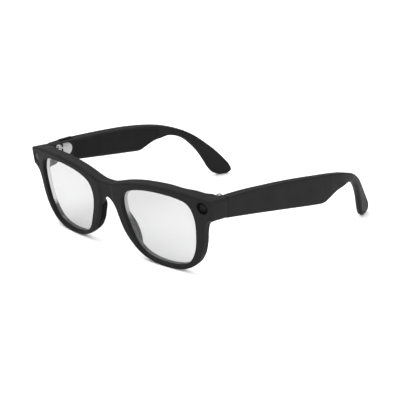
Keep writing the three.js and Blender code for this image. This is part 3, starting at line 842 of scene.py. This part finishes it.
def arm_edges(station):
    if station <= BOX_END:
        return station, arm_bottom(station), station, arm_top(station)
    return tuple(edge(station) for edge in TIP_EDGES)


def arm_point(y, z, w):
    """Point of the left arm at depth w in from its outer face."""
    return (outer_face(y) - w * thickness(y) / ARM_DEPTH, y, z)


def section(height, inset, soft):
    """A rounded section's edge, as (height from its middle, depth from the outer face)."""
    h, t = height / 2, ARM_DEPTH
    corners = [(h, 0, 1.0), (h - 0.4, t, 1.6), (-h, t, 1.2), (-h, 0, 1.2)]  # from the outer top
    radii = [min(radius + 1.6 * soft, h * 0.96, t * 0.48) for _, _, radius in corners]
    points = []
    for k, (z, w, _) in enumerate(corners):
        radius = radii[k]
        cz = z - math.copysign(radius, z)
        cw = radius if w == 0 else t - radius
        start = (180, 90, 0, -90)[k]
        for s in range(7):
            a = math.radians(start - 90 * s / 6)
            points.append((cz + radius * math.sin(a), cw + radius * math.cos(a)))
        if k in (1, 3):   # the inner and outer faces are a little crowned
            first, face_w = points[-1]
            after = (k + 1) % 4
            last = corners[after][0] - math.copysign(radii[after], corners[after][0])
            for share in (s / 6 for s in range(1, 6)):
                crown = CROWN * math.sin(math.pi * share) * min(1, h / 5)
                points.append((lerp(first, last, share), face_w + (crown if k == 1 else -crown)))
    if inset:
        points = [(z * (1 - inset / h), lerp(w, t / 2, inset / (t / 2))) for z, w in points]
    return points


def arm_stations():
    """Places along the arm with how far the section is set in, for the front end's bevel."""
    front_end = ARM_START - 0.1
    spots = [(front_end, 0.14), (front_end + 0.1, 0.04), (front_end + 0.3, 0.0)]
    spots += [(front_end + 0.3 + (99 - front_end) * k / 60, 0.0) for k in range(1, 61)]
    spots += [(lerp(100.5, 150, k / 34), 0.0) for k in range(35)]
    spots += [(150 + (ARM_END - 150) * math.sin(math.pi / 2 * k / 14), 0.0)
              for k in range(1, 15)]
    return spots


def arm_part():
    rows = []
    for station, inset in arm_stations():
        low_y, low_z, high_y, high_z = arm_edges(station)
        height = math.hypot(high_y - low_y, high_z - low_z)
        middle_y, middle_z = (low_y + high_y) / 2, (low_z + high_z) / 2
        closing = clamp((station - TIP_START) / (ARM_END - TIP_START + 0.3))
        row = []
        for h, w in section(height, inset, smooth((station - 98) / 20)):
            t = h / height
            w = lerp(w, ARM_DEPTH / 2, 1 - math.sqrt(max(1 - closing**2, 0.0)))
            row.append(arm_point(middle_y + (high_y - low_y) * t,
                                 middle_z + (high_z - low_z) * t, w))
        rows.append(row)
    return capped(rows)


def on_arm(part):
    return moved(part, arm_point)


def along_edge(edge, low, high, bevel=0.0):
    """A block measured up from the arm's top or bottom edge line, following it."""
    vertices, faces = box_mesh(low, high, bevel)
    return [arm_point(y, edge(y) + h, w) for y, h, w in vertices], faces


def plate_outline(grow):
    """The hinge plate: square towards the hinge and round at its other end."""
    middle = (HINGE_LOW + HINGE_TOP) / 2
    half = 3.6 + grow
    points = [(PLATE_START - grow, middle - half)]
    points += arc((22.2, middle), half, -90, 90, 20)
    points.append((PLATE_START - grow, middle + half))
    return points


def plate_part(grow, low, high, bevel=0.0):
    outline = plate_outline(grow)
    levels = [(low, 0.0), (high, 0.0)]
    if bevel:
        levels = [(low, 0.0), (high - bevel, 0.0), (high - bevel * 0.3, bevel * 0.3),
                  (high, bevel)]
    centre = Vector([sum(p[i] for p in outline) / len(outline) for i in (0, 1)])
    rings = []
    for w, inset in levels:
        moved_in = [Vector(p) + (centre - Vector(p)).normalized() * inset for p in outline]
        rings.append([(q.x, q.y, w) for q in moved_in])
    return on_arm(capped(rings))


def panel_part(grow, proud):
    """The inner cover: a thin panel set in the arm's inner face, with rounded corners."""
    columns, radius = 9, PANEL["corner"]
    length = PANEL["to"] - PANEL["from"] + 2 * grow
    end = [radius * (1 - math.cos(math.radians(a))) for a in range(0, 90, 15)]
    runs = [*end, *np.linspace(radius, length - radius, 40), *(length - e for e in reversed(end))]
    rows = len(runs) - 1
    vertices = []
    for sunk in (True, False):
        for run in runs:
            y = PANEL["from"] - grow + run
            short = max(radius - min(run, length - run), 0)
            corner = radius - math.sqrt(radius**2 - short**2)
            low = arm_bottom(y) + PANEL["edge"] - grow + corner
            high = arm_top(y) - PANEL["edge"] - 0.2 + grow - corner
            for c in range(columns):
                share = c / (columns - 1)
                crown = ARM_DEPTH + CROWN * math.sin(math.pi * share) + proud
                w = ARM_DEPTH - PANEL["depth"] if sunk else crown
                vertices.append((y, lerp(low, high, share), w))
    count = (rows + 1) * columns
    faces = grid_faces(rows + 1, columns)
    faces += [tuple(reversed(f)) for f in grid_faces(rows + 1, columns, start=count)]
    rim = [r * columns for r in range(rows + 1)]
    rim += [rows * columns + c for c in range(1, columns)]
    rim += [r * columns + columns - 1 for r in range(rows - 1, -1, -1)]
    rim += list(range(columns - 2, 0, -1))
    for a, b in zip(rim, rim[1:] + rim[:1]):
        faces.append((b, a, a + count, b + count))
    return on_arm((vertices, faces))


def button_block(slack, low, high):
    """The button's outline on top of the arm, with some slack all round."""
    return along_edge(arm_top, (BUTTON["from"] - slack, low, BUTTON["low"] - slack),
                      (BUTTON["to"] + slack, high, BUTTON["high"] + slack),
                      0.0 if slack else 0.25)


def hinge_notch():
    """The room that the knuckles and their barrel need at the arm's front end."""
    return box_mesh((HINGE_X - 3, 10, HINGE_LOW - 0.5),
                    (HINGE_X + 1.9, 17.6, HINGE_TOP + 0.9), 0.3)


def build_arm(name, turn):
    body = f"{name}_temple"
    arm = mesh_object(f"{name}_arm", *turn(arm_part()), frame_black, body, sharp=CUT_SHARP)
    cut(arm, turn(panel_part(PANEL_GAP, 1.5)))
    panel = mesh_object(f"{name}_inner_panel", *turn(panel_part(0.0, 0.0)), inner_black, body,
                        sharp=CUT_SHARP)
    cut(arm, turn(along_edge(arm_bottom, *GRILLE_POCKET)))
    if name == "left":
        for piece in (arm, panel):
            cut(piece, on_arm(box_mesh(*SWITCH_SLOT)))
            shade(piece, CUT_SHARP)
    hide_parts(f"{name}_temple_inner_cover")
    cut(arm, turn(plate_part(FIT_GAP, 5.6, 9)))
    cut(arm, turn(hinge_notch()))
    if name == "right":
        cut(arm, turn(button_block(FIT_GAP, -2.2, 3)))
    shade(arm, CUT_SHARP)
    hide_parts(f"{name}_temple_shell")


def about_hinge(part):
    return moved(part, lambda x, y, z: (x + HINGE_X, y + HINGE_Y, z))


def knuckle_part(index):
    radius, slack = 1.5, 0.2
    low = HINGE_LOW + index * HINGE_PITCH + slack
    high = low + HINGE_PITCH - 2 * slack
    profile = rounded([(0, low), (radius, low), (radius, high), (0, high)], 0.18)
    return about_hinge(turned(profile, 40))


def knuckle_arm(index, slack, x, y):
    """A flat bar from a knuckle back to its leaf, between two places across and two along."""
    low = HINGE_LOW + index * HINGE_PITCH + slack
    return box_mesh((HINGE_X + x[0], y[0], low),
                    (HINGE_X + x[1], y[1], low + HINGE_PITCH - 2 * slack), 0.08)


def build_hinge(name, turn):
    leaf = merged(plate_part(0.0, 5.9, 7.2, 0.25), knuckle_part(1), knuckle_part(3),
                  *(knuckle_arm(i, 0.3, (0.9, 2.2), (HINGE_Y, PLATE_START + 0.5)) for i in (1, 3)))
    plate = mesh_object(f"{name}_hinge_plate", *turn(leaf), nickel, f"{name}_temple", weld=False)
    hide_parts(f"{name}_hinge_temple_leaf")
    foot = box_mesh((HINGE_X - 0.5, 8.6, HINGE_LOW),
                    (HINGE_X + 0.5, SEAM_Y + 0.1, HINGE_TOP), 0.12)
    leaf = merged(*(knuckle_part(i) for i in (0, 2, 4)),
                  *(knuckle_arm(i, 0.14, (-0.5, 0.5), (11.6, HINGE_Y)) for i in (0, 2, 4)), foot)
    block = mesh_object(f"{name}_hinge_block", *turn(leaf), nickel, "front", weld=False)
    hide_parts(f"{name}_hinge_front_leaf")
    top = HINGE_TOP
    head = rounded([(0, top - 2), (0.7, top - 2), (0.7, top - 0.05), (1.1, top - 0.05),
                    (1.1, top + 0.15), (0, top + 0.22)], 0.08)
    screw = mesh_object(f"{name}_hinge_screw", *turn(about_hinge(turned(head, 40))), steel, "front")
    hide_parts(f"{name}_hinge_pin")


for name, turn in SIDES:
    build_arm(name, turn)
    build_hinge(name, turn)

button = mesh_object("button_cap", *mirrored(button_block(0.0, -1.4, BUTTON["proud"])),
                     button_black, "capture_button")
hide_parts("capture_button")

# ---- CAD nodes that stay: their materials ----
# The first key found in a node's name gives its material
KEPT = {
    "board": board_green, "touch_sensor": film_amber, "flex": film_amber,
    "battery": battery_grey, "charging_contact": gold, "speaker_grille": dark_steel,
    "tip_core": steel, "microphone": dark_steel, "button_switch": steel,
    "wireless_module": steel, "power_switch_base": steel, "power_switch": button_black,
}
for node, obj in frame["nodes"].items():
    if obj.hide_render:
        continue
    look = next((m for key, m in KEPT.items() if key in node), inner_black)
    obj.data.materials.clear()
    obj.data.materials.append(look)

# ---- Stage ----
FLOOR_REACH = 6.0        # metres each way
FLOOR_GAP = 0.00002      # metres under the object
SKY_TOWARDS = (0.2, -0.15, 0.52)   # the sky is brighter this way
SKY_LEVEL = 0.56
SUN_TOWARDS = (0.5, 0.12, -1)
SUN_POWER, SUN_ANGLE = 2.6, 75
FILL_PLACE, FILL_AIM = (0.6, -0.25, 0.3), (0.0, 0.0, 0.02)
FILL_SIZE, FILL_POWER = 0.3, 2.9

corners = [(-FLOOR_REACH, -FLOOR_REACH, 0), (FLOOR_REACH, -FLOOR_REACH, 0),
           (FLOOR_REACH, FLOOR_REACH, 0), (-FLOOR_REACH, FLOOR_REACH, 0)]
floor_mesh = bpy.data.meshes.new("floor")
floor_mesh.from_pydata(corners, [], [(0, 1, 2, 3)])
floor = bpy.data.objects.new("floor", floor_mesh)
bpy.context.scene.collection.objects.link(floor)
floor_look, floor_nodes, floor_links, floor_shader = node_material("floor_white")
paper = noise(floor_nodes, floor_links, 3, 2)
floor_links.new(ramp(floor_nodes, floor_links, paper, 0.3, 0.7, 0.90, 0.92),
                floor_shader.inputs["Base Color"])
floor_shader.inputs["Roughness"].default_value = 0.7
floor_shader.inputs["Specular IOR Level"].default_value = 0.1
floor_mesh.materials.append(floor_look)
floor.location.z = cad_box[0][2] - FLOOR_GAP


def sky_world():
    """A white studio sky. What it lights is shaded by direction, but seen directly it is white."""
    world = bpy.data.worlds.new("studio")
    bpy.context.scene.world = world
    world.use_nodes = True
    nodes, links = world.node_tree.nodes, world.node_tree.links
    sky = nodes["Background"]
    sky.inputs["Color"].default_value = (1, 1, 1, 1)
    direction = nodes.new("ShaderNodeTexCoord")
    slope = nodes.new("ShaderNodeVectorMath")
    slope.operation = "DOT_PRODUCT"
    slope.inputs[1].default_value = SKY_TOWARDS
    links.new(direction.outputs["Generated"], slope.inputs[0])
    level = math_node(nodes, links, "ADD", slope.outputs["Value"], SKY_LEVEL)
    seen = nodes.new("ShaderNodeLightPath")
    strength = math_node(nodes, links, "MAXIMUM", level, seen.outputs["Is Camera Ray"])
    links.new(strength, sky.inputs["Strength"])


def light_object(name, data, towards):
    made = bpy.data.objects.new(name, data)
    made.rotation_euler = Vector(towards).to_track_quat("-Z", "Y").to_euler()
    bpy.context.scene.collection.objects.link(made)
    return made


sky_world()
sun_data = bpy.data.lights.new("sky_sun", "SUN")
sun_data.energy = SUN_POWER
sun_data.angle = math.radians(SUN_ANGLE)
light_object("sky_sun", sun_data, SUN_TOWARDS)
fill_data = bpy.data.lights.new("fill_side", "AREA")
fill_data.shape = "RECTANGLE"
fill_data.size = fill_data.size_y = FILL_SIZE
fill_data.energy = FILL_POWER
fill = light_object("fill_side", fill_data, Vector(FILL_AIM) - Vector(FILL_PLACE))
fill.location = FILL_PLACE

# ---- Camera: angles in degrees, distance in metres, offsets in pixels of a 400-pixel picture ----
AZIMUTH, ELEVATION, ROLL = 44.388, 17.365, 0.419
DISTANCE = 0.6311
LOOK_AT = (0, 70, 20)
LENS, SENSOR_WIDTH = 99.64, 36
OFFSET_X, OFFSET_Y = 6.274, -13.68
FOCAL_PIXELS = LENS / SENSOR_WIDTH * 400


def add_camera():
    azimuth, elevation, roll = (math.radians(a) for a in (AZIMUTH, ELEVATION, ROLL))
    away = Vector((math.sin(azimuth) * math.cos(elevation),
                   -math.cos(azimuth) * math.cos(elevation), math.sin(elevation)))
    across = Vector((math.cos(azimuth), math.sin(azimuth), 0))
    up = away.cross(across)
    across, up = (across * math.cos(roll) + up * math.sin(roll),
                  up * math.cos(roll) - across * math.sin(roll))
    aim = -away - across * (OFFSET_X / FOCAL_PIXELS) + up * (OFFSET_Y / FOCAL_PIXELS)
    back = -aim.normalized()
    right = (across - back * across.dot(back)).normalized()
    data = bpy.data.cameras.new("camera")
    data.lens = LENS
    data.sensor_width = SENSOR_WIDTH
    data.clip_start, data.clip_end = 0.01, 50
    camera = bpy.data.objects.new("camera", data)
    camera.location = place(LOOK_AT) + away * DISTANCE
    camera.rotation_euler = Matrix((right, back.cross(right), back)).transposed().to_euler()
    bpy.context.scene.collection.objects.link(camera)
    bpy.context.scene.camera = camera


add_camera()
bpy.context.scene.view_settings.view_transform = "Standard"
bpy.context.scene.view_settings.look = "None"
